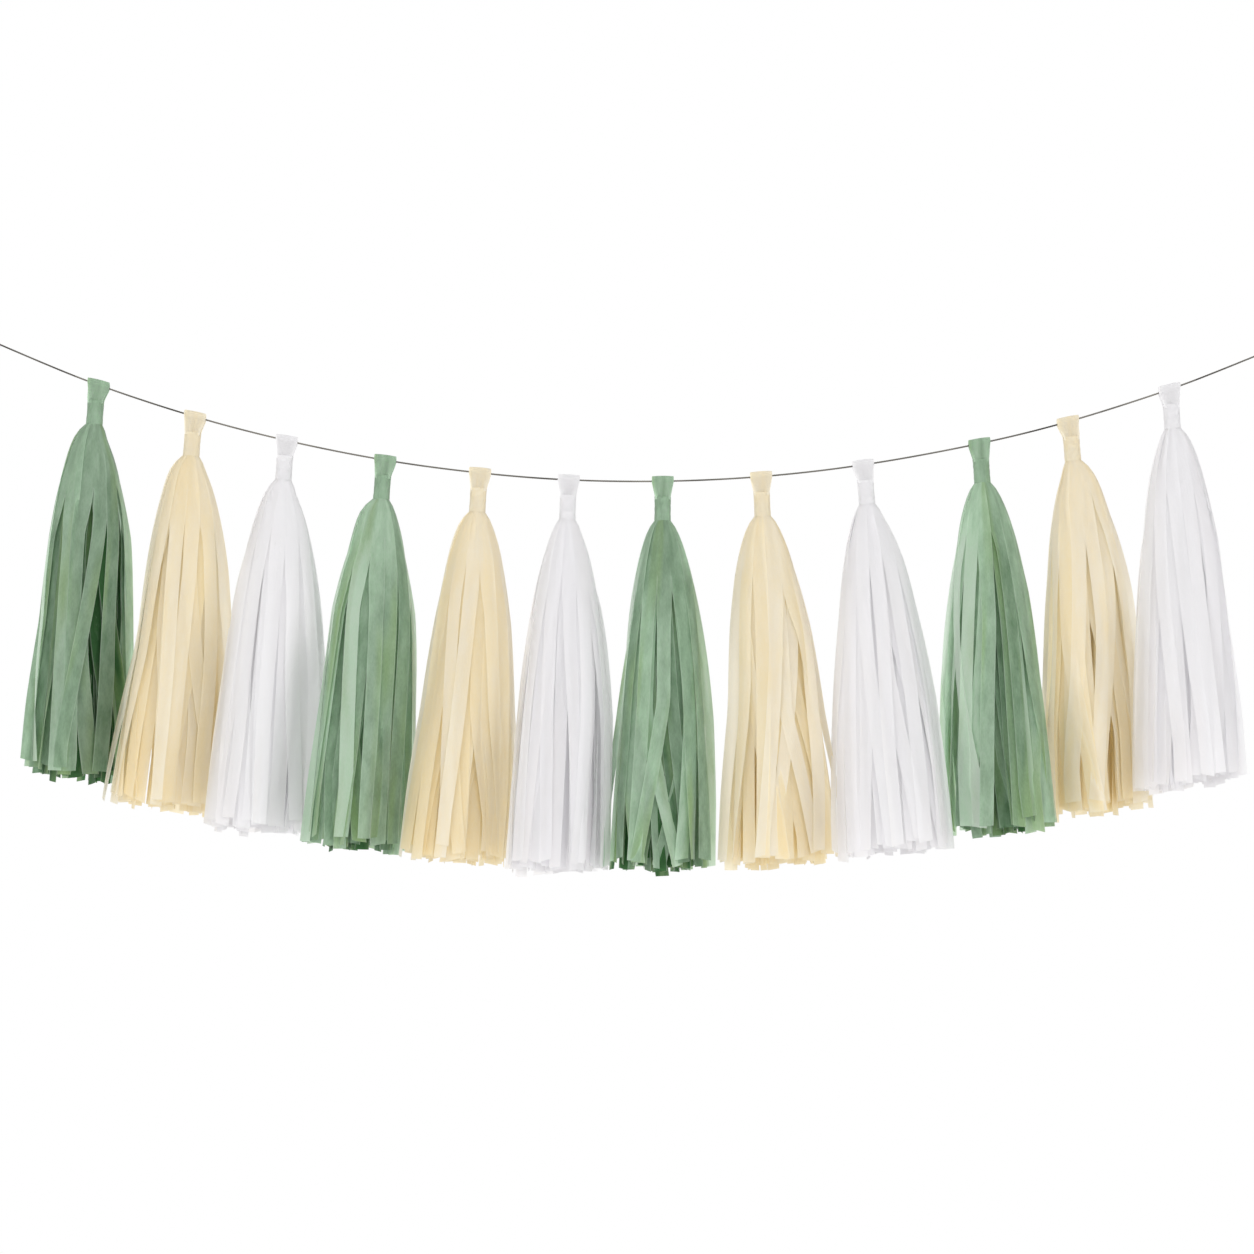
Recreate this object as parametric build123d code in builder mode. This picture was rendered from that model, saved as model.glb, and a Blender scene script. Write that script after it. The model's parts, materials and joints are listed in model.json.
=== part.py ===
from build123d import *
from math import acos, atan2, cos, degrees, hypot, pi, radians, sin, tan
import os

# Tissue paper tassel garland, in millimetres. +X runs along the garland, +Y points to the wall
# behind it and +Z points up. The origin is the centre of the left hanging loop's eye.

# String, a thin cord held taut at both ends. Its route from knot to knot is given as X and Z.
# The first and last stretches have one slight bend of their own, and each point between those
# two bends is the place where a tassel's weight bends the string.
string_diameter = 1.6
route = [
    (25.0, -10.9),
    (75.0, -32.7),
    (130.0, -55.0),
    (214.4, -82.8),
    (294.7, -103.6),
    (380.8, -120.8),
    (463.8, -131.8),
    (541.4, -138.0),
    (623.7, -139.2),
    (709.8, -135.2),
    (799.1, -125.0),
    (900.8, -106.3),
    (978.3, -87.2),
    (1067.0, -58.8),
    (1115.6, -40.0),
    (1159.8, -21.8),
]
bend_reach_share = 0.45

# Tied ends of the string, with the tail's bend and first slope in degrees
eye_radius = 7.0
knot_length = 5.4
knot_core_radius = 1.5
knot_wraps = 3
# Half the distance between the eye's two legs in the knot, for the string's diameter
leg_offset_share = 0.6
tail_bend_radius = 20.0
tail_bend = 40.0
tail_slope = 40.0

# Tassel sheet: the loop that goes over the string, and the neck below it
loop_width = 18.8
loop_wall = 2.5
loop_corner = 1.0
fold_bulge = 0.4
string_clearance = 0.5
slit_drop = 8.0
slit_end_radius = 0.4
neck_start = 13.1
neck_width = 12.6

# Neck band, a strip of tissue wound round the neck
band_thickness = 0.5
band_height = 20.2

# Gathered shoulder between the neck band and the strips
shoulder_drop = 90.0
shoulder_half_width = 33.0
# Depth below the band, and how far the shoulder has widened there
shoulder_profile_shares = [(0, 0), (0.14, 0.37), (0.38, 0.64), (0.61, 0.77), (0.83, 0.91), (1, 1)]
lap_share = 0.06

# Strips, from the shoulder to the hem
tassel_drop = 342.0
fringe_half_width = 50.0
fringe_gap = 4.2
strip_width = 12.0
strip_thickness = 0.35
strip_bow = 2.5
# Distance down a strip, and how far it has bowed out there
bow_shares = [(0, 0), (0.25, 0.75), (0.5, 1), (0.75, 0.75), (1, 0)]
strip_root = 12.0
hem_ragged = 8.0
strip_counts = [14, 8, 4]
# Distance of each ring of strips from the tassel's axis, in the shoulder and at the hem
ring_shares = [(0.91, 1), (0.64, 0.66), (0.36, 0.36)]

# Front-to-back size of the neck, band, shoulder and fringe for their width
depth_share = 0.8
corner_share = 0.4

# Lean of each tassel in degrees, positive with its hem to the left
leans = [3.9, 4.4, 3.8, 4.3, 3.3, 2.2, 0.5, -2.6, -4.6, -3.8, -4.6, -3.9]

string_radius = string_diameter / 2
loop_depth = string_diameter + 2 * (string_clearance + loop_wall)
band_width = neck_width + 2 * band_thickness
shoulder_start = neck_start + band_height
shoulder_end = shoulder_start + shoulder_drop

os.makedirs("parts", exist_ok=True)
corners = [Vector(x, 0, z) for x, z in route]


def run_direction(k):
    """The direction of the string's run from point k of its route to the next."""
    return (corners[k + 1] - corners[k]).normalized()


def bend_radius(k):
    """The radius of the bend at point k: within the loop at a tassel, else as large as fits."""
    half_turn = radians(run_direction(k - 1).get_angle(run_direction(k))) / 2
    if 2 <= k < len(route) - 2:
        reach = loop_width / 2
    else:
        before = (corners[k] - corners[k - 1]).length
        after = (corners[k + 1] - corners[k]).length
        reach = bend_reach_share * min(before, after)
    return reach / tan(half_turn)


def seat(k):
    """The middle of the bend at point k, and the string's direction there."""
    before, after = run_direction(k - 1), run_direction(k)
    half_turn = radians(before.get_angle(after)) / 2
    rise = bend_radius(k) * (1 / cos(half_turn) - 1)
    return corners[k] + (after - before).normalized() * rise, (before + after).normalized()


# The string, straight between the tassels and bent inside each tassel's loop
radii = [bend_radius(k) for k in range(1, len(route) - 1)]
with BuildPart() as garland_string:
    with BuildLine():
        string_path = FilletPolyline(*corners, radius=radii)
    with BuildSketch(Plane(origin=string_path @ 0, z_dir=string_path % 0)):
        Circle(string_radius)
    sweep()
string_length = string_path.length
garland_string.part.label = "garland_string"
export_step(garland_string.part, "parts/garland_string.step")
print("string bend radii:", [round(r) for r in radii])
print("string length:", round(string_length, 1))
print("volume over section times length:",
      round(garland_string.part.volume / (pi * string_radius**2 * string_length), 5))

# The tied ends: the string's end turns back round an eye, is knotted, and ends in a cut tail
eye_reach = hypot(*route[0])
knot_reach = eye_reach - knot_length / 2
leg_offset = leg_offset_share * string_diameter
for side, end, inward, normal in (
    ("left", corners[0], run_direction(0), Vector(0, -1, 0)),
    ("right", corners[-1], -run_direction(len(route) - 2), Vector(0, 1, 0)),
):
    eye_plane = Plane(origin=end - inward * eye_reach, x_dir=inward, z_dir=normal)
    leg_distance = hypot(knot_reach, leg_offset)
    touch = atan2(leg_offset, knot_reach) + acos(eye_radius / leg_distance)
    touch_point = (eye_radius * cos(touch), eye_radius * sin(touch))
    tail_turn = radians(tail_slope)
    with BuildPart() as hanging_loop:
        with BuildLine(eye_plane):
            leg = Line((knot_reach, leg_offset), touch_point)
            CenterArc((0, 0), eye_radius, degrees(touch), 360 - 2 * degrees(touch))
            Line((touch_point[0], -touch_point[1]), (knot_reach, -leg_offset))
        with BuildSketch(Plane(origin=leg @ 0, z_dir=leg % 0)):
            Circle(string_radius)
        sweep()
        with BuildLine(eye_plane):
            tail_way = (cos(tail_turn), -sin(tail_turn))
            tail = JernArc((knot_reach, -leg_offset), tail_way, tail_bend_radius, tail_bend)
        with BuildSketch(Plane(origin=tail @ 0, z_dir=tail % 0)):
            Circle(string_radius)
        sweep()
        with BuildSketch(eye_plane):
            with Locations((knot_reach, knot_core_radius / 2)):
                Rectangle(knot_length, knot_core_radius)
            with Locations((knot_reach, knot_core_radius)):
                with GridLocations(string_diameter, 0, knot_wraps, 1):
                    Circle(string_radius)
        revolve(axis=Axis(end, inward))
    hanging_loop.part.label = f"{side}_hanging_loop"
    export_step(hanging_loop.part, f"parts/{side}_hanging_loop.step")


def pleat_corners(half_width, count):
    """A ring of pleats seen from above: each starts on the oval and ends under the next one."""
    points = []
    for k in range(count):
        start = 2 * pi * k / count
        end = 2 * pi * (k + 1) / count
        tucked = (1 - lap_share) * half_width
        points.append((half_width * cos(start), depth_share * half_width * sin(start)))
        points.append((tucked * cos(end), depth_share * tucked * sin(end)))
    return points


def paper_strip(length):
    """One strip of the fringe, standing on its root end, bowed outwards towards -Y."""
    with BuildPart() as strip:
        with BuildSketch(Plane.YZ):
            with BuildLine():
                outer = [(-out * strip_bow, -down * length) for down, out in bow_shares]
                Polyline(*outer, *[(y + strip_thickness, z) for y, z in reversed(outer)], close=True)
            make_face()
        extrude(amount=strip_width / 2, both=True)
    return strip.part


def hem_centre(number):
    """The middle of a tassel's hem."""
    turn = radians(leans[number])
    return seat(number + 2)[0] + Vector(-sin(turn), 0, -cos(turn)) * tassel_drop


def reach_beside(number, neighbour):
    """How far a fringe reaches to the side of a neighbour, which may not exist."""
    if not 0 <= neighbour < len(leans):
        return fringe_half_width
    spacing = abs(hem_centre(neighbour).X - hem_centre(number).X)
    return min(fringe_half_width, spacing / 2 - fringe_gap)


def strip_plane(number, ring, k, left_reach, right_reach):
    """The place of one strip in its tassel's own frame, and its length."""
    count = strip_counts[ring]
    root_share, hem_share = ring_shares[ring]
    ring_corners = pleat_corners(shoulder_half_width, count)
    (x0, y0), (x1, y1) = ring_corners[2 * k], ring_corners[2 * k + 1]
    middle = 2 * pi * (k + 0.5) / count
    reach = right_reach if cos(middle) > 0 else left_reach
    ragged = hem_ragged * sin(7 * (k % (count // 2)) + 3 * number + 2 * ring)
    root = Vector((x0 + x1) / 2 * root_share, (y0 + y1) / 2 * root_share, strip_root - shoulder_end)
    hem = Vector(
        hem_share * reach * cos(middle),
        hem_share * depth_share * fringe_half_width * sin(middle),
        -tassel_drop - ragged,
    )
    place = Plane(origin=root, x_dir=(x1 - x0, y1 - y0, 0), z_dir=root - hem)
    return place, (root - hem).length


for number, lean in enumerate(leans):
    centre, along = seat(number + 2)
    turn = radians(lean)
    tassel_frame = Plane(
        origin=centre,
        x_dir=(cos(turn), 0, -sin(turn)),
        z_dir=(sin(turn), 0, cos(turn)),
    )
    bore_plane = Plane(origin=centre, x_dir=(0, 1, 0), z_dir=along)
    over_string = Plane(origin=centre, x_dir=along, z_dir=bore_plane.y_dir)
    left_reach = reach_beside(number, number - 1)
    right_reach = reach_beside(number, number + 1)
    neck_depth = depth_share * neck_width
    neck_corner = corner_share * neck_depth

    strips = []
    for ring, count in enumerate(strip_counts):
        for k in range(count):
            place, length = strip_plane(number, ring, k, left_reach, right_reach)
            strips.append(paper_strip(length).moved(tassel_frame.location * place.location))

    with BuildPart() as fringed_sheet:
        # Loop, from the string down to the neck
        with BuildSketch(over_string):
            RectangleRounded(loop_width - 2 * fold_bulge, loop_depth - 2 * fold_bulge, loop_corner)
        with BuildSketch(tassel_frame.offset(-neck_start)):
            RectangleRounded(neck_width, neck_depth, neck_corner)
        loft(ruled=True)
        with BuildSketch(bore_plane):
            Circle(loop_depth / 2)
        extrude(amount=loop_width / 2, both=True)
        # Slit between the loop's front and back, round over the string
        with BuildSketch(bore_plane):
            with BuildLine():
                CenterArc((0, 0), string_radius + string_clearance, 0, 360)
                CenterArc((0, -slit_drop), slit_end_radius, 0, 360)
            make_hull()
        extrude(amount=loop_width, both=True, mode=Mode.SUBTRACT)
        # Neck inside the band
        with BuildSketch(tassel_frame.offset(-neck_start)):
            RectangleRounded(neck_width, neck_depth, neck_corner)
        extrude(amount=-band_height)
        # Shoulder of overlapping pleats
        for down_share, wide_share in shoulder_profile_shares:
            half_width = band_width / 2 + wide_share * (shoulder_half_width - band_width / 2)
            with BuildSketch(tassel_frame.offset(-shoulder_start - down_share * shoulder_drop)):
                with BuildLine():
                    Polyline(*pleat_corners(half_width, strip_counts[0]), close=True)
                make_face()
        loft(ruled=True)
        add(strips)

    with BuildPart() as neck_band:
        with BuildSketch(tassel_frame.offset(-neck_start)):
            RectangleRounded(band_width, neck_depth + 2 * band_thickness, neck_corner + band_thickness)
            RectangleRounded(neck_width, neck_depth, neck_corner, mode=Mode.SUBTRACT)
        extrude(amount=-band_height)

    fringed_sheet.part.label = f"tassel_{number + 1:02d}_fringed_sheet"
    export_step(fringed_sheet.part, f"parts/tassel_{number + 1:02d}_fringed_sheet.step")
    neck_band.part.label = f"tassel_{number + 1:02d}_neck_band"
    export_step(neck_band.part, f"parts/tassel_{number + 1:02d}_neck_band.step")
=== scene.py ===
import json
import math

import bpy
import numpy as np
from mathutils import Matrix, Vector


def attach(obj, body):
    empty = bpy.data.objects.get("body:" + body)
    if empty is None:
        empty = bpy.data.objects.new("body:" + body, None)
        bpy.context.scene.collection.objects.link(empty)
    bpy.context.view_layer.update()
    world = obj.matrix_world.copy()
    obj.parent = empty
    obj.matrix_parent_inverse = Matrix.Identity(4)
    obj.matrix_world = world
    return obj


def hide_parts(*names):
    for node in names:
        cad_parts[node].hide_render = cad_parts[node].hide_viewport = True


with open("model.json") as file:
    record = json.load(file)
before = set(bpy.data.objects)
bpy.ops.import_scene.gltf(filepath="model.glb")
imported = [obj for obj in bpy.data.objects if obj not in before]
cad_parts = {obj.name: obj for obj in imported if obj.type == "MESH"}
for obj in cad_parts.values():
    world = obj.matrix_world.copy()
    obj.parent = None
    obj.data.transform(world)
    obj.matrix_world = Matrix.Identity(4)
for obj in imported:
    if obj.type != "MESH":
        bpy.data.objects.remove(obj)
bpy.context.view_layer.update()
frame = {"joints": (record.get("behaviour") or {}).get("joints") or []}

# Studio: the garland is photographed from straight in front, at the height of its middle, against
# plain white. A pale floor lies well below the tassels, where the picture doesn't reach.
garland_middle = Vector((0.59, 0, -0.27))
camera_data = bpy.data.cameras.new("camera")
camera_data.lens = 100
camera_data.sensor_width = 36
camera = bpy.data.objects.new("camera", camera_data)
camera.location = (0.5924, -3.048, -0.2661)
camera.rotation_euler = (math.radians(90), 0, 0)
bpy.context.scene.collection.objects.link(camera)
bpy.context.scene.camera = camera
bpy.context.scene.view_settings.view_transform = "Standard"


def white_for_the_camera(tree, lit, seen, output):
    """Mixes the lit shader with a plain white one that only camera, mirror and glass rays see."""
    path = tree.nodes.new("ShaderNodeLightPath")
    either = tree.nodes.new("ShaderNodeMath")
    either.operation = "MAXIMUM"
    tree.links.new(path.outputs["Is Camera Ray"], either.inputs[0])
    tree.links.new(path.outputs["Is Glossy Ray"], either.inputs[1])
    any_of_them = tree.nodes.new("ShaderNodeMath")
    any_of_them.operation = "MAXIMUM"
    tree.links.new(either.outputs[0], any_of_them.inputs[0])
    tree.links.new(path.outputs["Is Transmission Ray"], any_of_them.inputs[1])
    mix = tree.nodes.new("ShaderNodeMixShader")
    tree.links.new(any_of_them.outputs[0], mix.inputs[0])
    tree.links.new(lit.outputs[0], mix.inputs[1])
    tree.links.new(seen.outputs[0], mix.inputs[2])
    tree.links.new(mix.outputs[0], output.inputs["Surface"])


world = bpy.data.worlds.new("studio")
world.use_nodes = True
world.node_tree.nodes.clear()
room_light = world.node_tree.nodes.new("ShaderNodeBackground")
room_light.inputs["Color"].default_value = (1.0, 0.99, 0.98, 1)
room_light.inputs["Strength"].default_value = 0.72
room_white = world.node_tree.nodes.new("ShaderNodeBackground")
room_white.inputs["Color"].default_value = (1, 1, 1, 1)
room_white.inputs["Strength"].default_value = 1.0
world_output = world.node_tree.nodes.new("ShaderNodeOutputWorld")
white_for_the_camera(world.node_tree, room_light, room_white, world_output)
bpy.context.scene.world = world

floor_height = -1.05
floor_corners = [(x, y, floor_height) for x, y in ((-3.4, -3.6), (4.6, -3.6), (4.6, 1.25), (-3.4, 1.25))]
floor_mesh = bpy.data.meshes.new("floor")
floor_mesh.from_pydata(floor_corners, [], [(0, 1, 2, 3)])
floor = bpy.data.objects.new("floor", floor_mesh)
bpy.context.scene.collection.objects.link(floor)
floor_material = bpy.data.materials.new("pale_floor")
floor_material.use_nodes = True
floor_skin = floor_material.node_tree.nodes["Principled BSDF"]
floor_skin.inputs["Base Color"].default_value = (0.86, 0.86, 0.86, 1)
floor_skin.inputs["Roughness"].default_value = 0.9
floor_mesh.materials.append(floor_material)

for name, place, size, power in [
    ("softbox_left", (-0.6, -2.7, 1.0), 1.6, 21.5),
    ("softbox_right", (1.8, -2.7, 0.5), 1.6, 16.5),
    ("softbox_back", (-0.6, 2.1, 0.7), 1.8, 24),
]:
    softbox = bpy.data.lights.new(name, "AREA")
    softbox.shape = "SQUARE"
    softbox.size = size
    softbox.energy = power
    lamp = bpy.data.objects.new(name, softbox)
    lamp.location = place
    lamp.rotation_euler = (garland_middle - Vector(place)).to_track_quat("-Z", "Y").to_euler()
    bpy.context.scene.collection.objects.link(lamp)


# String: one length of thin cotton twine, three yarns twisted together, held taut between its two
# tied ends. It bends a little where each tassel pulls on it and is nearly straight in between.
string_thickness = 0.0016
string_route = [
    (0.0250, -0.0109), (0.0750, -0.0327), (0.1300, -0.0550), (0.2144, -0.0828), (0.2947, -0.1036),
    (0.3808, -0.1208), (0.4638, -0.1318), (0.5414, -0.1380), (0.6237, -0.1392), (0.7098, -0.1352),
    (0.7991, -0.1250), (0.9008, -0.1063), (0.9783, -0.0872), (1.0670, -0.0588), (1.1156, -0.0400),
    (1.1598, -0.0218),
]
# A yarn's radius as a part of the string's, at which the three run a little into each other
yarn_share = 0.62
yarn_radius = string_thickness / 2 * yarn_share
twist_length = 0.0062
string_step = 0.0009
# The outermost tassels hang this far to either side of this place along the garland
tassels_middle = 0.60
tassels_half_width = 0.49


def smooth_line(name, points):
    """Points along a NURBS spline of order 3 that has the given points as its control points."""
    curve = bpy.data.curves.new(name, "CURVE")
    curve.dimensions = "3D"
    curve.resolution_u = 24
    spline = curve.splines.new("NURBS")
    spline.points.add(len(points) - 1)
    spline.points.foreach_set("co", np.array([(x, y, z, 1) for x, y, z in points]).ravel())
    spline.order_u = 3
    spline.use_endpoint_u = True
    holder = bpy.data.objects.new(name, curve)
    line = bpy.data.meshes.new_from_object(holder)
    read = np.zeros(len(line.vertices) * 3)
    line.vertices.foreach_get("co", read)
    bpy.data.objects.remove(holder)
    bpy.data.curves.remove(curve)
    bpy.data.meshes.remove(line)
    return read.reshape(-1, 3)


def evenly(line, step):
    """The same line with its points at equal distances of about one step along it."""
    run = np.concatenate([[0], np.cumsum(np.linalg.norm(np.diff(line, axis=0), axis=1))])
    at = np.linspace(0, run[-1], max(int(run[-1] / step), 2) + 1)
    return np.stack([np.interp(at, run, line[:, k]) for k in range(3)], axis=1), at


def twisted_yarns(line, at, across=(0, 1, 0), sides=7, yarns=3):
    """Tubes round the line: each yarn's middle goes round it once per twist length, at the yarn's distance
    from the middle, and its skin is a circle of the yarn's radius across the line's own direction."""
    along = np.gradient(line, axis=0)
    along /= np.linalg.norm(along, axis=1)[:, None]
    side = np.cross(along, across)
    side /= np.linalg.norm(side, axis=1)[:, None]
    up = np.cross(side, along)
    points, faces, index = [], [], 0
    for yarn in range(yarns):
        turn = 2 * np.pi * (at / twist_length + yarn / yarns)
        middle = line + (string_thickness / 2 - yarn_radius) * (
            np.cos(turn)[:, None] * side + np.sin(turn)[:, None] * up)
        round_it = 2 * np.pi * np.arange(sides) / sides
        skin = middle[:, None] + yarn_radius * (
            np.cos(round_it)[None, :, None] * side[:, None] + np.sin(round_it)[None, :, None] * up[:, None])
        rows, columns = np.meshgrid(np.arange(len(line) - 1), np.arange(sides), indexing="ij")
        first = rows * sides + columns
        second = rows * sides + (columns + 1) % sides
        walls = np.stack([first, second, second + sides, first + sides], axis=-1).reshape(-1, 4)
        caps = np.stack([np.zeros(sides - 2, int), np.arange(1, sides - 1), np.arange(2, sides)], axis=-1)
        end = caps + (len(line) - 1) * sides
        points.append(skin.reshape(-1, 3))
        faces += (walls + index).tolist() + (caps[:, ::-1] + index).tolist() + (end + index).tolist()
        index += len(line) * sides
    return np.concatenate(points), faces


def twine_material():
    """Grey-brown cotton with a fine fibre grain and paler stretches, from noise on Object coordinates, and
    darker beyond the outermost tassels."""
    material = bpy.data.materials.new("cotton_twine")
    material.use_nodes = True
    tree = material.node_tree
    skin = tree.nodes["Principled BSDF"]
    place = tree.nodes.new("ShaderNodeTexCoord")
    grain = tree.nodes.new("ShaderNodeTexNoise")
    grain.inputs["Scale"].default_value = 2600
    grain.inputs["Detail"].default_value = 3
    stretch = tree.nodes.new("ShaderNodeTexNoise")
    stretch.inputs["Scale"].default_value = 14
    stretch.inputs["Detail"].default_value = 2
    tree.links.new(place.outputs["Object"], grain.inputs["Vector"])
    tree.links.new(place.outputs["Object"], stretch.inputs["Vector"])
    shades = tree.nodes.new("ShaderNodeValToRGB")
    shades.color_ramp.elements[0].position = 0.46
    shades.color_ramp.elements[0].color = (0.07, 0.066, 0.058, 1)
    shades.color_ramp.elements[1].position = 0.78
    shades.color_ramp.elements[1].color = (0.29, 0.275, 0.245, 1)
    axes = tree.nodes.new("ShaderNodeSeparateXYZ")
    tree.links.new(place.outputs["Object"], axes.inputs[0])
    among_tassels = tree.nodes.new("ShaderNodeMath")
    among_tassels.operation = "COMPARE"
    among_tassels.inputs[1].default_value = tassels_middle
    among_tassels.inputs[2].default_value = tassels_half_width
    tree.links.new(axes.outputs["X"], among_tassels.inputs[0])
    lighter = tree.nodes.new("ShaderNodeMath")
    lighter.operation = "MULTIPLY_ADD"
    lighter.inputs[1].default_value = 0.12
    tree.links.new(among_tassels.outputs[0], lighter.inputs[0])
    tree.links.new(stretch.outputs["Fac"], lighter.inputs[2])
    tree.links.new(lighter.outputs[0], shades.inputs["Fac"])
    fibre = tree.nodes.new("ShaderNodeMix")
    fibre.data_type = "RGBA"
    fibre.blend_type = "MULTIPLY"
    fibre.inputs[0].default_value = 0.55
    fibre_shades = tree.nodes.new("ShaderNodeValToRGB")
    fibre_shades.color_ramp.elements[0].position = 0.3
    fibre_shades.color_ramp.elements[0].color = (0.55, 0.53, 0.5, 1)
    fibre_shades.color_ramp.elements[1].position = 0.7
    tree.links.new(grain.outputs["Fac"], fibre_shades.inputs["Fac"])
    tree.links.new(shades.outputs["Color"], fibre.inputs[6])
    tree.links.new(fibre_shades.outputs["Color"], fibre.inputs[7])
    tree.links.new(fibre.outputs[2], skin.inputs["Base Color"])
    bump = tree.nodes.new("ShaderNodeBump")
    bump.inputs["Strength"].default_value = 0.5
    bump.inputs["Distance"].default_value = 0.0002
    tree.links.new(grain.outputs["Fac"], bump.inputs["Height"])
    tree.links.new(bump.outputs["Normal"], skin.inputs["Normal"])
    skin.inputs["Roughness"].default_value = 0.85
    skin.inputs["Specular IOR Level"].default_value = 0.25
    return material


twine = twine_material()
string_line, string_run = evenly(
    smooth_line("string_line", [(x, 0, z) for x, z in string_route]), string_step)


def twine_piece(name, node, strands):
    """One mesh object at the origin from several lengths of twine, in place of a CAD node."""
    points, faces, index = [], [], 0
    for more_points, more_faces in strands:
        points.append(more_points)
        faces += [[k + index for k in face] for face in more_faces]
        index += len(more_points)
    mesh = bpy.data.meshes.new(name)
    mesh.from_pydata(np.concatenate(points).tolist(), [], faces)
    mesh.polygons.foreach_set("use_smooth", np.ones(len(mesh.polygons), dtype=bool))
    mesh.materials.append(twine)
    piece = bpy.data.objects.new(name, mesh)
    bpy.context.scene.collection.objects.link(piece)
    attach(piece, "string")
    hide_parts(node)
    return piece


twisted_string = twine_piece("twisted_string", "garland_string", [twisted_yarns(string_line, string_run)])

# Hanging loops: each end of the string is turned back into an eye, wound three times round itself as a
# knot and cut off with a short tail. The points run from the string's end round the eye to the tail's
# tip, from the eye's centre inward along the string and up across it, in millimetres.
eye_points = [
    (27.4, 0.1), (22.5, 0.7), (12.0, 4.1), (-0.8, 7.4), (-5.6, 5.0), (-7.5, 0.0), (-5.6, -5.0), (-0.8, -7.4),
    (12.0, -4.1), (22.5, -0.7), (28.4, -1.2), (31.5, -5.0), (37.4, -5.6),
]
# The knot's start from the eye's centre and its radius are in millimetres, the steps of both in metres
knot_first = 22.3
knot_turns = 3
knot_radius = 2.0
knot_points = 97
eye_step = 0.0005
knot_step = 0.0004


def tied_end(name, node, centre, inward):
    """The twine along a NURBS line through the eye's points, and the knot's wraps as a helix round the
    inward direction, one string thickness further in with each turn."""
    centre = np.array([centre[0], 0, centre[1]])
    inward = np.array([inward[0], 0, inward[1]]) / math.hypot(*inward)
    up = np.array([-inward[2], 0, inward[0]]) * math.copysign(1, inward[0])
    out = np.array([0.0, 1.0, 0.0])
    eye = [centre + (along * inward + across * up) / 1000 for along, across in eye_points]
    turn = np.linspace(0, knot_turns, knot_points)[:, None]
    wraps = centre + ((knot_first + turn * string_thickness * 1000) * inward + knot_radius * (
        np.cos(2 * np.pi * turn) * up + np.sin(2 * np.pi * turn) * out)) / 1000
    return twine_piece(name, node, [
        twisted_yarns(*evenly(smooth_line(name, [tuple(k) for k in eye]), eye_step)),
        twisted_yarns(*evenly(wraps, knot_step), across=tuple(inward))])


hanging_loops = [
    tied_end("left_tied_end", "left_hanging_loop", (0, 0), (0.0250, -0.0109)),
    tied_end("right_tied_end", "right_hanging_loop", (1.1850186, -0.0114159), (-0.0442, -0.0182)),
]


# Tissue paper: thin, matt and slightly see-through, so light from behind and from its neighbours comes
# through it. Its fibres show as fine mottling, and the cut edges of the strips carry a painted highlight.
# Share of the light that the paper lets through
paper_glow = 0.5


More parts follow.
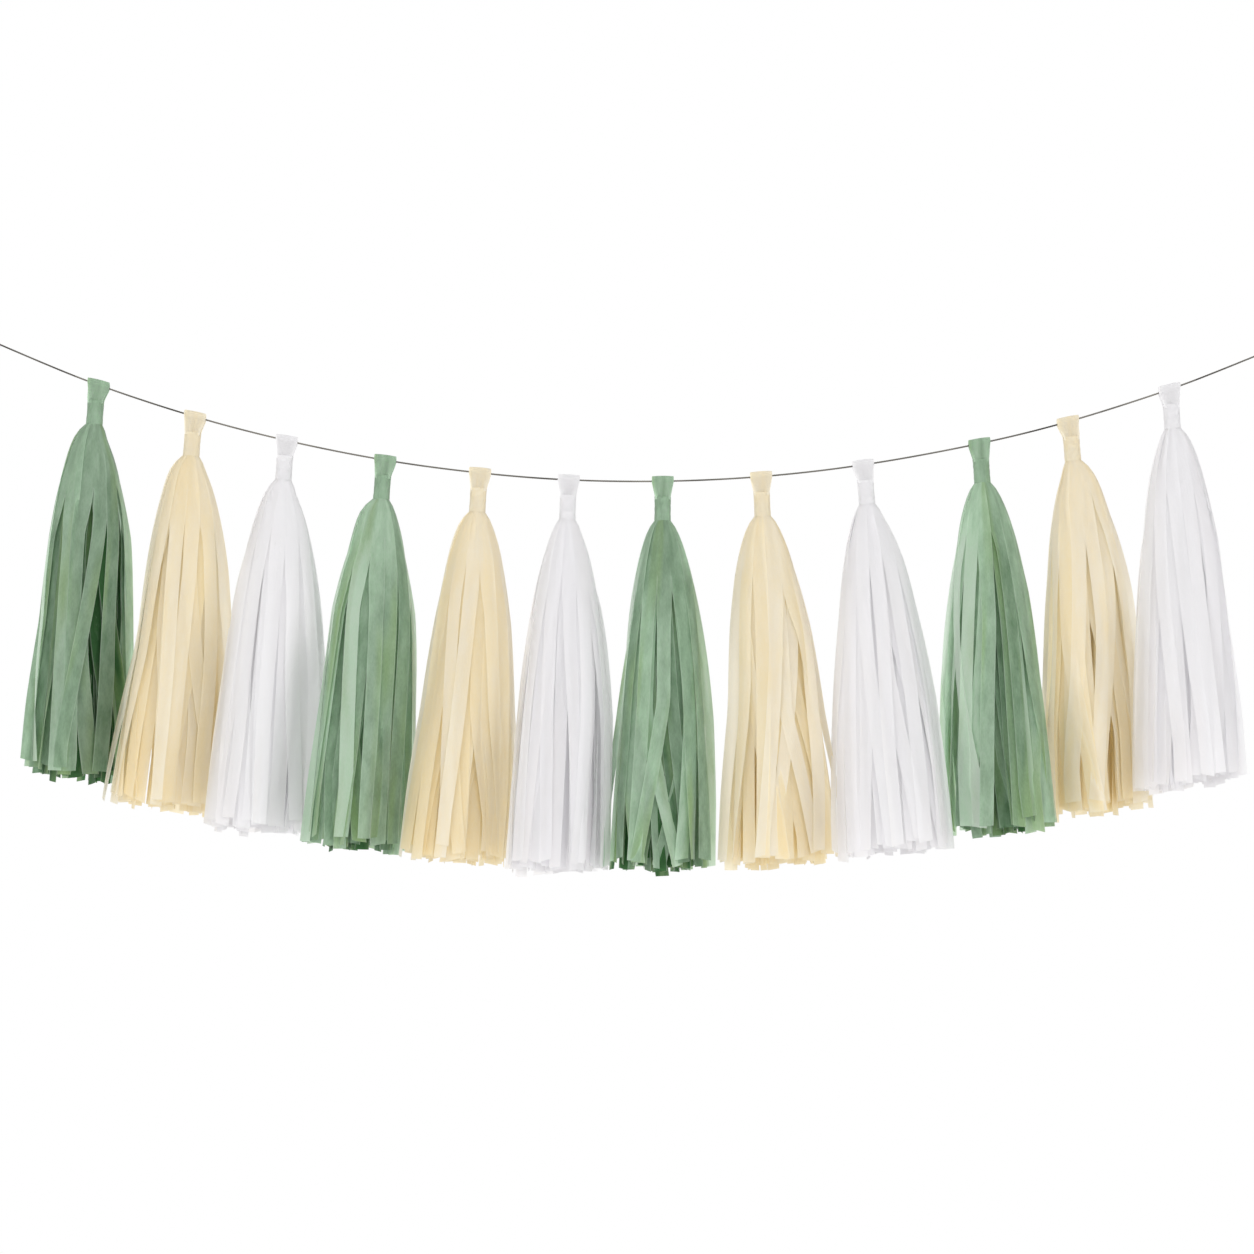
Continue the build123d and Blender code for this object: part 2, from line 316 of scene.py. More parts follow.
def tissue_material(name, face, shade, warm, edge):
    """Paper colour from the strip's own tone, which carries painted shade and a painted backlight as well as
    random differences, and noises on the sheet's UV map, in metres; warmer on some strips, a painted
    backlight where the tone is very high, a painted highlight at cut edges, and painted shade where a cut
    value below 0 stands for rolled paper; crinkles as bump; mixed with light that the fibres let through. A
    sheet's far skin, met from within, does nothing, so that light is diffused once."""
    material = bpy.data.materials.new(name)
    material.use_nodes = True
    tree = material.node_tree
    skin = tree.nodes["Principled BSDF"]
    sheet = tree.nodes.new("ShaderNodeUVMap")
    sheet.uv_map = "paper"

    def painted(attribute):
        """The value of one of the mesh's own attributes."""
        reader = tree.nodes.new("ShaderNodeAttribute")
        reader.attribute_name = attribute
        return reader.outputs["Fac"]

    def noise(scale, detail, along):
        """Noise over the sheet, with its scale along the strips as a part of its scale across them."""
        stretch = tree.nodes.new("ShaderNodeMapping")
        stretch.inputs["Scale"].default_value = (1, along, 1)
        tree.links.new(sheet.outputs["UV"], stretch.inputs["Vector"])
        grain = tree.nodes.new("ShaderNodeTexNoise")
        grain.inputs["Scale"].default_value = scale
        grain.inputs["Detail"].default_value = detail
        tree.links.new(stretch.outputs["Vector"], grain.inputs["Vector"])
        return grain.outputs["Fac"]

    def added(value, factor, other):
        """The value times the factor, plus the other value."""
        both = tree.nodes.new("ShaderNodeMath")
        both.operation = "MULTIPLY_ADD"
        both.inputs[1].default_value = factor
        tree.links.new(value, both.inputs[0])
        tree.links.new(other, both.inputs[2])
        return both.outputs[0]

    def ramp(value, low, high, least=0.0, most=1.0, curve="LINEAR"):
        """A value between low and high, brought between least and most."""
        share = tree.nodes.new("ShaderNodeMapRange")
        share.interpolation_type = curve
        share.inputs["From Min"].default_value = low
        share.inputs["From Max"].default_value = high
        share.inputs["To Min"].default_value = least
        share.inputs["To Max"].default_value = most
        tree.links.new(value, share.inputs["Value"])
        return share.outputs["Result"]

    def blend(share, first, second, kind="MIX"):
        """Two colours mixed by the second one's share. Each value is a node's output or is set here."""
        mixer = tree.nodes.new("ShaderNodeMix")
        mixer.data_type = "RGBA"
        mixer.blend_type = kind
        for value, socket in ((share, mixer.inputs[0]), (first, mixer.inputs[6]), (second, mixer.inputs[7])):
            if isinstance(value, bpy.types.NodeSocket):
                tree.links.new(value, socket)
            else:
                socket.default_value = value
        return mixer.outputs[2]

    tone = painted("tone")
    cut = painted("cut")
    cloud = noise(150, 4, 0.3)
    fibre = noise(900, 3, 0.3)
    crinkle = noise(170, 3, 0.12)
    patches = noise(45, 2, 0.12)
    lightness = added(cloud, 0.9, tone)
    mottled = blend(ramp(lightness, 0.25, 1.65), (*shade, 1), (*face, 1))
    tinted = blend(ramp(patches, 0.5, 0.72), mottled, (*warm, 1))
    # Painted backlight: where the tone is very high, as on side strips that light would pass alone, the
    # colour turns to the pale edge colour
    backlit_pale = blend(ramp(lightness, 1.5, 2.4, most=0.9), tinted, (*edge, 1))
    speckled = blend(0.22, backlit_pale, fibre, "OVERLAY")
    # Painted shade: the rolled paper of loop and band, marked by a cut value below 0, is made darker as if
    # less light came through it
    rolled = blend(1, speckled, ramp(cut, -1, 0, least=0.9), "MULTIPLY")
    # Painted highlight: the cut edges of the strips turn towards the pale edge colour
    finished = blend(ramp(cut, 0.7, 1.0, most=0.34, curve="SMOOTHSTEP"), rolled, (*edge, 1))
    tree.links.new(finished, skin.inputs["Base Color"])
    bump = tree.nodes.new("ShaderNodeBump")
    bump.inputs["Strength"].default_value = 0.35
    bump.inputs["Distance"].default_value = 0.0008
    tree.links.new(added(fibre, 0.35, crinkle), bump.inputs["Height"])
    tree.links.new(bump.outputs["Normal"], skin.inputs["Normal"])
    skin.inputs["Roughness"].default_value = 0.82
    skin.inputs["Specular IOR Level"].default_value = 0.22
    skin.inputs["Sheen Weight"].default_value = 0.5
    skin.inputs["Sheen Roughness"].default_value = 0.4
    softened = tree.nodes.new("ShaderNodeGamma")
    softened.inputs["Gamma"].default_value = 0.85
    tree.links.new(finished, softened.inputs["Color"])
    through = tree.nodes.new("ShaderNodeBsdfTranslucent")
    tree.links.new(softened.outputs["Color"], through.inputs["Color"])
    tree.links.new(bump.outputs["Normal"], through.inputs["Normal"])
    paper = tree.nodes.new("ShaderNodeMixShader")
    paper.inputs[0].default_value = paper_glow
    tree.links.new(skin.outputs[0], paper.inputs[1])
    tree.links.new(through.outputs[0], paper.inputs[2])
    met_from = tree.nodes.new("ShaderNodeNewGeometry")
    nothing = tree.nodes.new("ShaderNodeBsdfTransparent")
    thin = tree.nodes.new("ShaderNodeMixShader")
    tree.links.new(met_from.outputs["Backfacing"], thin.inputs[0])
    tree.links.new(paper.outputs[0], thin.inputs[1])
    tree.links.new(nothing.outputs[0], thin.inputs[2])
    tree.links.new(thin.outputs[0], tree.nodes["Material Output"].inputs["Surface"])
    return material


# Each paper's shade colour is what the lowest tones give: the painted shade of the inner layers and gaps. Its
# edge colour is the painted highlight at cut edges and the painted backlight on lone side strips.
papers = {
    "green": tissue_material(
        "green_tissue", face=(0.66, 0.86, 0.67), shade=(0.05, 0.15, 0.05), warm=(0.38, 0.55, 0.27),
        edge=(0.78, 0.88, 0.78)),
    "cream": tissue_material(
        "cream_tissue", face=(0.985, 0.947, 0.84), shade=(0.985, 0.88, 0.62), warm=(0.985, 0.89, 0.65),
        edge=(0.985, 0.95, 0.86)),
    "white": tissue_material(
        "white_tissue", face=(0.985, 0.983, 0.993), shade=(0.964, 0.958, 0.974), warm=(0.976, 0.964, 0.97),
        edge=(0.985, 0.985, 0.992)),
}

# Tassel sheet: one sheet of tissue folded over and cut into strips up to the fold, then rolled, doubled
# over the string as a loop and gathered into a full skirt. Sizes in millimetres, from the string down.
neck_top = 13.1
neck_bottom = 33.3
fringe_length = 309.0
neck_half_width = 6.25
neck_half_depth = 5.0
skirt_depth_share = 0.8
loop_half_width = 9.8
loop_inner_radius = 1.35
loop_wall = 2.45
loop_narrows = 2.9
loop_tucked_in = 2.5
crease_heights = (0.25, 0.6)
crease_waves = (2, 5)
# The paper's thickness, in metres
sheet_thickness = 0.00014
# Strips in each layer of the skirt, and the layer's width as a part of the skirt's, from the outside in
strip_layers = [(13, 1.0), (13, 0.87), (14, 0.73), (13, 0.59), (12, 0.45), (9, 0.3), (6, 0.15)]
strip_half_width = 6.0
strip_rows = 40
strip_columns = 5
top_inside_band = 12
# Strips hang together at the top in panels. How far a panel reaches over the one before it, as a part of a
# strip; how far its two sides stand in and out; the slits' depths within it and at its sides; and the length
# below a slit within which a strip turns into a flat ribbon
panel_reach = (-0.5, 0.12)
panel_slant = (-0.7, 0.8)
slit_depths = (6, 60)
panel_side_depths = (4, 38)
ribbon_within = 52
# Pleats of the gathered shoulder: how high they stand, and how many run round it
pleat_heights = (0.1, 0.3)
pleat_counts = (5, 9, 14)
# How single strips differ: in length, by chance and by place, and in the slant of the end; in drift round
# the skirt in radians; in how far and where they swerve from it; in how far and in what waves they sway; in
# how far they stand out and their ends curl in; in turn in degrees all the way down, at the end and at the
# skirt's sides; in width as a part of the usual; and in arch
length_spread = 3.0
ends_shorter = 3
outer_shorter = 2
sides_longer = 2.5
front_shorter = 6
slant_spread = 0.8
drift_spread = 0.16
swerve_spread = 0.24
swerve_starts = (40, 175)
swerve_length = 160
sway_spread = 1.0
sway_waves = (28, 60)
sway_radius = 46
rise_spread = 1.2
end_curls = (0, 2.5)
turn_spread = 13
end_turn_spread = 22
side_turns = (22, 50)
strip_widths = (0.93, 1.06)
usual_arch = 0.45
arch_spread = 0.55
# Tones, from the darkest to the palest as 0 to 1: of a panel and what a strip adds, both at random; the
# painted shade that darkens the inner layers; and the painted backlight that makes a side strip paler where
# light would come through it alone, less so on the right side
panel_tones = (0.25, 0.9)
strip_tones = (-0.5, 0.5)
layer_painted_shade = 1.5
even_layer = 0.88
backlight_paint_tone = 0.8
backlight_paint_less_right = 0.3
# Lean of each tassel in degrees, and how far its skirt reaches to the left and to the right, at these
# depths below its band
reach_depths = (0, 15, 50, 100, 175, 309)
leans = [3.9, 4.4, 3.8, 4.3, 3.3, 2.2, 0.5, -2.6, -4.6, -3.8, -4.6, -3.9]
left_reach = [
    (17, 27, 32.2, 35.3, 46), (18, 26, 31, 36.5, 53.4), (16.5, 26.5, 34.5, 40, 49),
    (18.5, 26.5, 38, 42, 49), (16, 25, 31, 38, 51.6), (14, 22.5, 29.5, 37, 46.4),
    (14.5, 23, 29.5, 36.5, 48.1), (16, 26.5, 33.5, 39, 53), (14, 22.5, 30.5, 41, 52.5),
    (14.5, 24, 35, 46.5, 54.3), (10.8, 19.5, 27.5, 37.5, 50.8), (13.5, 23.5, 31.5, 41, 53.1),
]
right_reach = [
    (12, 24, 36.8, 44.5, 53.4), (14, 27, 38.2, 46, 55.1), (12, 25, 36, 46, 49.9),
    (14, 23.5, 35, 43, 52.5), (14, 24.5, 33.3, 39.5, 52.5), (13.5, 25, 36.3, 45.5, 48.5),
    (15, 26, 35.6, 45, 51), (14.5, 24.5, 34.8, 42.3, 57.8), (13.5, 28, 36.5, 46, 51.6),
    (15, 25.5, 32.5, 36.5, 46.4), (18, 29.5, 40.5, 49.5, 56.9), (15, 24.5, 33.5, 37, 43.5),
]
# How much longer than usual each fringe hangs, and how much lower its right side hangs than its middle
longer = [2.5, 1.8, 0.5, -1.2, -0.8, 1.9, -2, -0.8, -1.1, -1.5, 2, 5.5]
right_lower = [5.5, 4.5, 0.5, 1, 2.5, 1, 0, 0, -2, -2, -3, -3.5]
# How much paler each tassel is than usual, as a part of the whole range of tones
paler = [-0.28, 0, 0, 0.06, 0, 0, -0.16, 0, 0, 0.21, 0, 0]
# How far the strips of each tassel splay, as a part of the usual amount, and how much nearer to the
# outside than in a loose skirt its inner layers lie, as a power of their distance from the middle
splay = [1.45, 1.15, 0.75, 1.25, 1.05, 0.75, 1.6, 1.3, 0.75, 1.5, 1.2, 0.75]
packed = {"green": 1.0, "cream": 0.75, "white": 0.62}
# How far each neck stands to the right of the line from its loop to its fringe
neck_aside = [-1.4, -0.8, -0.7, -0.9, -0.5, 0, 0.1, -0.2, 0.8, 0.4, 1.7, 0.6]
# Whether each tassel's left and right side lies in front of its neighbour (-1), behind it (1) or beside it
left_side = [0, -1, -1, -1, -1, -1, 0, -1, -1, 1, 1, -1]
right_side = [1, 1, 1, 1, 1, 0, 1, 1, -1, -1, 1, 0]
# A skirt turns aside from this far before its neighbour's border, over this width, where its own side comes
# this near to that border, growing over this distance
aside_from = 38
aside_width = 36
meeting_from = 12
meeting_width = 16


def ease(share):
    """Smooth step from 0 to 1."""
    share = np.clip(share, 0, 1)
    return share * share * (3 - 2 * share)


def bent(points, aside):
    """The same points, moved sideways at the neck and not at all at the string or in the fringe."""
    down = -points[..., 2]
    begun = ease((down - 2) / 12)
    ended = ease((down - 38) / 45)
    moved = points.copy()
    moved[..., 0] += aside * begun * (1 - ended)
    return moved


def opened(below, reach):
    """Half-width of a skirt at a depth below its band: it widens quickly at the shoulder and slowly after
    it, as the depth to the power 0.3, between the widths measured at the reach depths."""
    def stretched(depth):
        return (np.maximum(depth, 0) + 3) ** 0.3

    return np.interp(stretched(below), stretched(np.array(reach_depths)), (neck_half_width, *reach))


def cut_panels(chance):
    """How one skirt is cut, strip by strip: the angles, lifts and slit depths of its first and second edge,
    the angle of its middle, its layer's part of the width, whether it lies in front of or behind the next
    ones, and its panel's number; and whether it hangs together with the strip before it."""
    first_edge, second_edge, first_lift, second_lift, first_slit, second_slit = [], [], [], [], [], []
    middles, shares, ranks, panels, joined = [], [], [], [], []
    for count, share in strip_layers:
        pitch = 2 * np.pi / count
        start = chance.uniform(0, 2 * np.pi)
        done = 0
        while done < count:
            panel = min(int(chance.integers(1, 4)), count - done)
            panel += 1 if count - done - panel == 1 else 0
            edges = start + pitch * (done + np.arange(panel + 1.0))
            middles.append((edges[1:] + edges[:-1]) / 2)
            edges[0] += chance.uniform(*panel_reach) * pitch
            lifts = np.linspace(*panel_slant, panel + 1)
            slits = chance.uniform(*slit_depths, panel + 1)
            slits[[0, -1]] = chance.uniform(*panel_side_depths, 2)
            first_edge.append(edges[:-1])
            second_edge.append(edges[1:])
            first_lift.append(lifts[:-1])
            second_lift.append(lifts[1:])
            first_slit.append(slits[:-1])
            second_slit.append(slits[1:])
            shares.append(np.full(panel, share))
            ranks.append((done + np.arange(panel)) % 3 - 1.0)
            panels.append(np.full(panel, len(panels)))
            joined.append(np.arange(panel) > 0)
            done += panel
    strips = [np.concatenate(k)[:, None, None] for k in (
        first_edge, second_edge, first_lift, second_lift, first_slit, second_slit, middles, shares, ranks,
        panels)]
    return strips, np.concatenate(joined)[:, None]


def fringe(chance, left, right, more, lower, pale, splayed, close):
    """Strips of one skirt, as points (strip, row, column), in the tassel's own directions. A strip starts as
    a slice of the gathered cone, whose edges it shares with its neighbours up to the slit, and becomes a
    flat ribbon of its full width that drifts, turns and curls by its own random amounts. Angles run round
    the skirt from the front, by the right side, to the back."""
    strips, whole = cut_panels(chance)
    first_edge, second_edge, first_lift, second_lift, first_slit, second_slit = strips[:6]
    middle, layer, rank, panel = strips[6:]
    count = len(layer)
    share = layer ** close
    sideways = np.sin(middle)

    def each(low, high):
        """One number for each strip, evenly spread between low and high."""
        return chance.uniform(low, high, count)[:, None, None]

    def about(spread):
        """One number for each strip, near 0, with the given spread and no far outliers."""
        return np.clip(chance.normal(0, spread, count), -2.2 * spread, 2.2 * spread)[:, None, None]

    # Lengths: the strips at the sides hang lower and the outer ones in front higher; ends are cut aslant
    across = np.linspace(-1, 1, strip_columns)[None, None, :]
    length = fringe_length - ends_shorter - outer_shorter * share ** 2 + about(length_spread)
    length = length + more + lower * sideways * share
    length = length + sides_longer * share * sideways ** 4
    length = length - front_shorter * share ** 2 * ease(np.cos(middle) + 0.3)
    row = np.linspace(0, 1, strip_rows)[None, :, None] ** 1.12
    level = row * (fringe_length + top_inside_band) - top_inside_band
    stretched = (length - fringe_length) * ease((level - 110) / 190)
    aslant = about(slant_spread) * across * row ** 8
    below = level + stretched + aslant
    down = ease(below / fringe_length)
    fan = np.clip(below / fringe_length, 0, 1) ** 0.75
    to_left, to_right = opened(below, left), opened(below, right)

    def past(depth, within):
        """0 as far as this depth below the band, and 1 from the given distance further down."""
        return ease((below - depth) / within)

    def radii(angle):
        """Distance from the skirt's middle line at an angle, to the side and to the front or back."""
        half = (to_left + to_right) / 2
        return share * (half + (to_right - to_left) / 2 * np.sin(angle)), share * half * skirt_depth_share

    # The gathered cone, with pleats that fade out below the shoulder
    side_share = (across + 1) / 2
    angle = first_edge + (second_edge - first_edge) * side_share
    lift = (first_lift + (second_lift - first_lift) * side_share) * past(0, 14)
    wide, deep = radii(angle)
    pleats = sum(
        chance.uniform(*pleat_heights) * np.sin(angle * k + chance.uniform(0, 6.28)) for k in pleat_counts)
    lift = lift + pleats * past(0, 12) * (1 - 0.6 * past(40, 80))
    cone = np.stack([(wide + lift) * np.sin(angle), -(deep + lift) * np.cos(angle)], axis=-1)

    # The way of each strip: it drifts round the skirt, swerves lower down, sways, and its end curls in
    sway = about(sway_spread) * np.sin(below / each(*sway_waves) + each(0, 6.28)) * down
    swerve = np.clip((below - each(*swerve_starts)) / swerve_length, 0, 1.25)
    drift = (about(drift_spread) * fan + about(swerve_spread) * swerve) * splayed + sway / sway_radius
    drift = drift / np.maximum(share, 0.3)
    angle = middle + drift + 0 * across
    wide, deep = radii(angle)
    rise = rank * 1.5 * down + about(rise_spread) * down - each(*end_curls) * past(235, 75) * share
    # Its turn out of the skirt's surface, large at the sides, where it may not stand out further for it
    heading = np.arctan2(deep * np.sin(angle), wide * np.cos(angle))
    turn = np.radians(about(turn_spread)) * down + np.radians(about(end_turn_spread)) * past(120, 190) ** 2
    turn = turn + np.radians(each(*side_turns)) * np.sign(about(1)) * sideways ** 6 * past(30, 120)
    heading = heading + turn
    rise = rise - strip_half_width * 0.5 * np.abs(np.sin(turn)) * sideways ** 6
    ribbon_middle = np.stack([(wide + rise) * np.sin(angle), -(deep + rise) * np.cos(angle)], axis=-1)
    width = strip_half_width * each(*strip_widths)
    arch = (usual_arch + about(arch_spread)) * (1 - across ** 2) * (1 - 0.3 * down)
    ribbon = ribbon_middle + np.stack([
        across * width * np.cos(heading) + arch * np.sin(heading),
        across * width * np.sin(heading) - arch * np.cos(heading)], axis=-1)

    # Each edge leaves the cone below its own slit
    loose_first = past(first_slit, ribbon_within)
    loose_second = past(second_slit, ribbon_within)
    loose = (loose_first + (loose_second - loose_first) * side_share)[..., None]
    flat = cone * (1 - loose) + ribbon * loose
    points = np.concatenate([flat, -(neck_bottom + below)[..., None] + 0 * flat[..., :1]], axis=-1)
    number = np.arange(count)[:, None, None]
    uv = np.stack([
        (side_share + number) * 2 * strip_half_width / 1000 + 0 * below, below / 1000], axis=-1)

    # Tones: random by panel and strip, painted shade on the inner layers, painted backlight on lone side
    # strips
    tone = chance.uniform(*panel_tones, count)[panel] + each(*strip_tones) * loose[..., 0]
    # Painted shade: inner layers darker than the outer ones, for the gaps between strips
    tone = tone + layer_painted_shade * (layer - even_layer) + pale
    tone = tone + (share > 0.95) * ease((np.abs(sideways) - 0.8) / 0.18) * past(15, 50) * (
        backlight_paint_tone - backlight_paint_less_right * np.sign(sideways))

    # Where a strip still hangs together with the one before it, the two share the points of their border
    cut_first = (level[..., 0] > first_slit[..., 0]) | ~whole
    cut_second = (level[..., 0] > second_slit[..., 0]) | ~np.roll(whole, -1, axis=0)
    cut = np.zeros_like(tone)
    cut[..., 0] = cut_first
    cut[..., -1] = cut_second
    corner = np.arange(cut.size).reshape(cut.shape)
    joint = corner.copy()
    joint[..., 0] = np.where(cut_first, corner[..., 0], np.roll(corner[..., -1], 1, axis=0))
    return points, uv, tone, cut, corner, joint


def loop_walls(chance, slope):
    """The rolled middle of the sheet, doubled over the string: four nested layers, each a sheet that runs up
    the front, round the string and down the back, wide over the string and narrow at the band, with
    creases that run down into the band."""
    layers, columns, rows = 4, 15, 37
    over_string, to_band = 0.34, 0.66
    across = np.linspace(-1, 1, columns)[None, None, :]
    layer = np.arange(layers)[:, None, None] / (layers - 1)
    way = np.linspace(-1, 1, rows)[None, :, None]
    turn = np.clip(way / over_string, -1, 1) * np.pi / 2
    down = np.maximum(np.abs(way) - over_string, 0) / to_band * (neck_top + loop_tucked_in)
    radius = loop_inner_radius + loop_wall * layer
    shut = ease(down / neck_top)
    depth = radius * (1 - shut) + (0.5 + (neck_half_depth - 1.1) * layer) * shut
    over = radius * np.cos(turn) * (1 + 0.34 * layer)
    height = np.where(np.abs(way) < over_string, over, -down)
    y = np.where(np.abs(way) < over_string, radius * np.sin(turn), np.sign(way) * depth)
    half = loop_half_width - loop_narrows * np.clip((down + 1) / (neck_top + 1), 0, 1.1)
    half = half - 0.5 * (1 - layer) - 0.2 * np.cos(turn) ** 4
    crease = sum(
        chance.uniform(*crease_heights) * (
            np.abs(np.sin(across * chance.uniform(*crease_waves) + chance.uniform(0, 3.14))) - 0.6)
        for k in range(3))
    half = half + chance.uniform(-0.12, 0.12, (layers, 1, 1))
    x = across * half
    y = y + np.sin(turn) * (crease * (0.2 + 0.6 * shut) - 0.9 * across ** 4 * (1 - shut) * layer)
    height = height + 0.45 * layer * (0.4 - across ** 2) * (1 - shut) * np.cos(turn) ** 2
    height = height + slope * x * (1 - shut) * (1 - 0.4 * layer * np.cos(turn) ** 2)
    points = np.stack([x + 0 * y, y + 0 * x, height + 0 * x], axis=-1)
    uv = np.stack([x / 1000 + layer * 0.05 + 0 * way, way * 0.02 + 0 * x], axis=-1)
    # Tone: painted shade on the inner layers of the loop and in the creases, paler on the outer layers and
    # ridges
    tone = 0.6 + 0.25 * layer + 0.25 * crease + 0 * x
    # A cut value below 0 marks rolled paper, which the material darkens as painted shade
    cut = -0.55 + 0 * x
    corner = np.arange(cut.size).reshape(cut.shape)
    return points, uv, tone, cut, corner, corner


def quads(corner):
    """Quads of grids whose points have the given numbers, in the order (grid, row, column)."""
    return np.stack([corner[..., :-1, :-1], corner[..., 1:, :-1], corner[..., 1:, 1:], corner[..., :-1, 1:]],
                    axis=-1).reshape(-1, 4)


def paper_piece(name, parts, material, thickness):
    """One mesh object at the origin from several sets of grids, each (points in mm, uv, tone, cut edge,
    numbers of the points, numbers with shared points). Free edges are kept sharp, and the paper gets its
    thickness."""
    start = np.cumsum([0] + [part[4].size for part in parts])
    points = np.concatenate([part[0].reshape(-1, 3) for part in parts]) / 1000
    uv = np.concatenate([part[1].reshape(-1, 2) for part in parts])
    tone = np.concatenate([part[2].ravel() for part in parts])
    cut = np.concatenate([part[3].ravel() for part in parts])
    corners = np.concatenate([quads(part[4] + first) for part, first in zip(parts, start)])
    joints = np.concatenate([quads(part[5] + first) for part, first in zip(parts, start)])
    used, faces = np.unique(joints, return_inverse=True)
    mesh = bpy.data.meshes.new(name)
    mesh.from_pydata(points[used].tolist(), [], faces.reshape(-1, 4).tolist())
    mesh.uv_layers.new(name="paper").data.foreach_set("uv", uv[corners.ravel()].astype(np.float32).ravel())
    mesh.attributes.new("tone", "FLOAT", "POINT").data.foreach_set("value", tone[used].astype(np.float32))
    mesh.attributes.new("cut", "FLOAT", "POINT").data.foreach_set("value", cut[used].astype(np.float32))
    edge = np.zeros(len(mesh.loops), dtype=np.int32)
    mesh.loops.foreach_get("edge_index", edge)
    free = np.bincount(edge, minlength=len(mesh.edges)) == 1
    mesh.attributes.new("sharp_edge", "BOOLEAN", "EDGE").data.foreach_set("value", free)
    mesh.polygons.foreach_set("use_smooth", np.ones(len(mesh.polygons), dtype=bool))
    mesh.materials.append(material)
    piece = bpy.data.objects.new(name, mesh)
    bpy.context.scene.collection.objects.link(piece)
    wall = piece.modifiers.new("paper thickness", "SOLIDIFY")
    wall.thickness = thickness
    wall.offset = 0
    return piece


seats = [np.array(joint["pos_m"]) * 1000 for joint in frame["joints"]]
ways = [np.array(joint["axis"]) for joint in frame["joints"]]


def own_directions(tassel):
    """To the right, to the back and up, as the rows of an array, for a tassel that leans."""
    lean = math.radians(leans[tassel])
    return np.array([[math.cos(lean), 0, -math.sin(lean)], [0, 1, 0], [math.sin(lean), 0, math.cos(lean)]])


def hung(points, tassel):
    """Points in a tassel's own directions, bent at the neck and brought to its seat on the string."""
    return seats[tassel] + bent(points, neck_aside[tassel]) @ own_directions(tassel)


def side_of(tassel, height, reach, sign):
    """Place along the garland of one side of a tassel's skirt at the given height."""
    lean = math.radians(leans[tassel])
    down = (seats[tassel][2] - height) / math.cos(lean)
    return seats[tassel][0] - math.sin(lean) * down + sign * opened(down - neck_bottom, reach)


def beside_neighbours(points, tassel, local):
    """Moves the side of a skirt that meets a neighbour's, and what lies next to it, behind or in front of the
    middle plane, and halves its depth there, so that one skirt lies over the other."""
    x, y, z = points[..., 0], points[..., 1], points[..., 2]
    below = -local[..., 2] - neck_bottom
    for sign, order, neighbour in ((-1, left_side, tassel - 1), (1, right_side, tassel + 1)):
        if order[tassel] == 0 or not 0 <= neighbour < len(seats):
            continue
        reach = right_reach[neighbour] if sign < 0 else left_reach[neighbour]
        border = side_of(neighbour, z, reach, -sign)
        own = (right_reach if sign > 0 else left_reach)[tassel]
        inside = ease((sign * (x - border) + aside_from) / aside_width)
        meeting = ease((sign * (side_of(tassel, z, own, sign) - border) + meeting_from) / meeting_width)
        weight = inside * meeting
        wide = opened(below, own)
        deep = skirt_depth_share * wide * np.sqrt(np.clip(1 - (local[..., 0] / wide) ** 2, 0, 1)) + 4
        y = y * (1 - weight / 2) + order[tassel] * weight * (deep / 2 + 1.5)
    return np.stack([x, y, z], axis=-1)


colours = ["green", "cream", "white"]
for tassel in range(len(seats)):
    chance = np.random.default_rng(41 + tassel)
    to_right, _, to_top = own_directions(tassel)
    slope = (ways[tassel] @ to_top) / (ways[tassel] @ to_right)
    strips = list(fringe(
        chance, left_reach[tassel], right_reach[tassel], longer[tassel], right_lower[tassel], paler[tassel],
        splay[tassel], packed[colours[tassel % 3]]))
    strips[0] = beside_neighbours(hung(strips[0], tassel), tassel, strips[0])
    walls = list(loop_walls(chance, slope))
    walls[0] = hung(walls[0], tassel)
    paper = papers[colours[tassel % 3]]
    sheet = paper_piece(f"tassel_{tassel + 1:02d}_tissue", [strips, walls], paper, sheet_thickness)
    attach(sheet, f"tassel_{tassel + 1:02d}")
    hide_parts(f"tassel_{tassel + 1:02d}_fringed_sheet")


# Neck band: a strip of the same tissue wound twice and a bit round the neck and glued, which closes the
# loop. Its turns are not quite level, and its loose end shows as a low step at the back.
band_half_width = 7.15
band_half_depth = 5.54
band_turns = 2.3
# The power in the outline's formula: 2 is an ellipse, and more is closer to a rectangle
band_corners = 2.7
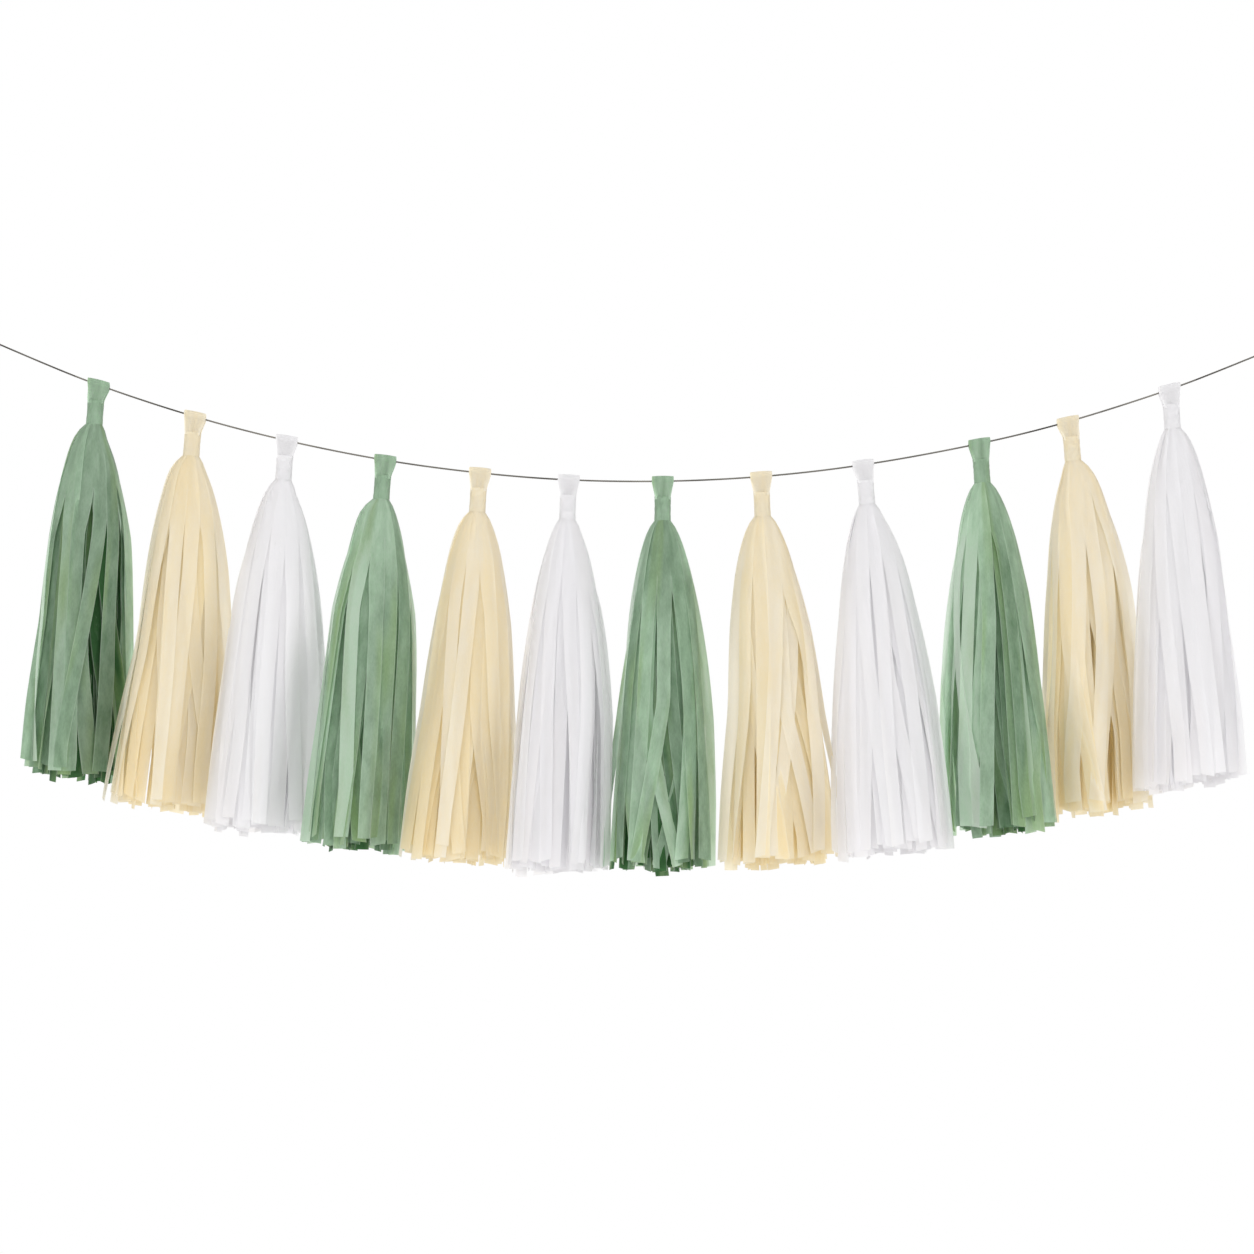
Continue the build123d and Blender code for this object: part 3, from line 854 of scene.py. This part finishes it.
# The paper's thickness, in metres
band_thickness = 0.00012
band_columns = 150
band_rows = 15
loose_end_angle = 2.2
turn_step = 0.14
wrinkle_heights = (0.02, 0.07)
wrinkle_waves = (9, 30)
pinched = 0.14
flared = 0.2
tilted = 0.35


def wound_band(chance):
    """A strip round the neck: its angle runs through all the turns, its outline is an ellipse drawn towards a
    rectangle, each turn lies a paper's thickness further out, and it carries fine level wrinkles."""
    round_it = np.linspace(0, band_turns, band_columns)[:, None]
    up = np.linspace(0, 1, band_rows)[None, :]
    angle = 2 * np.pi * round_it + loose_end_angle + chance.uniform(-0.5, 0.5)
    outward = (np.abs(np.cos(angle)) ** band_corners + np.abs(np.sin(angle)) ** band_corners) ** (
        -1 / band_corners)
    lift = turn_step * (round_it - band_turns)
    wrinkle = sum(
        chance.uniform(*wrinkle_heights) * np.sin(
            up * chance.uniform(*wrinkle_waves) + 3 * np.sin(angle * k) + chance.uniform(0, 6))
        for k in (1, 2, 3))
    pinch = -pinched * np.sin(np.pi * up) + flared * (up - 0.5) ** 2
    tilt = tilted * np.sin(2 * np.pi * round_it * 0.7 + chance.uniform(0, 6))
    x = np.cos(angle) * outward * (band_half_width + lift + wrinkle + pinch)
    y = np.sin(angle) * outward * (band_half_depth + lift + wrinkle + pinch)
    z = -(neck_bottom + 0.3) + up * (neck_bottom - neck_top + 0.3) + tilt
    uv = np.stack([round_it * 0.04 + 0 * up, up * 0.02 + 0 * round_it], axis=-1)
    tone = 0.75 + 0 * x
    # A cut value below 0 marks rolled paper, which the material darkens a little as painted shade
    cut = -0.12 + 0 * x
    corner = np.arange(cut.size).reshape(cut.shape)
    return np.stack([x, y, z], axis=-1), uv, tone, cut, corner, corner


for tassel in range(len(seats)):
    chance = np.random.default_rng(141 + tassel)
    turns = list(wound_band(chance))
    turns[0] = hung(turns[0], tassel)
    paper = papers[colours[tassel % 3]]
    band = paper_piece(f"tassel_{tassel + 1:02d}_wound_band", [turns], paper, band_thickness)
    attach(band, f"tassel_{tassel + 1:02d}")
    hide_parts(f"tassel_{tassel + 1:02d}_neck_band")
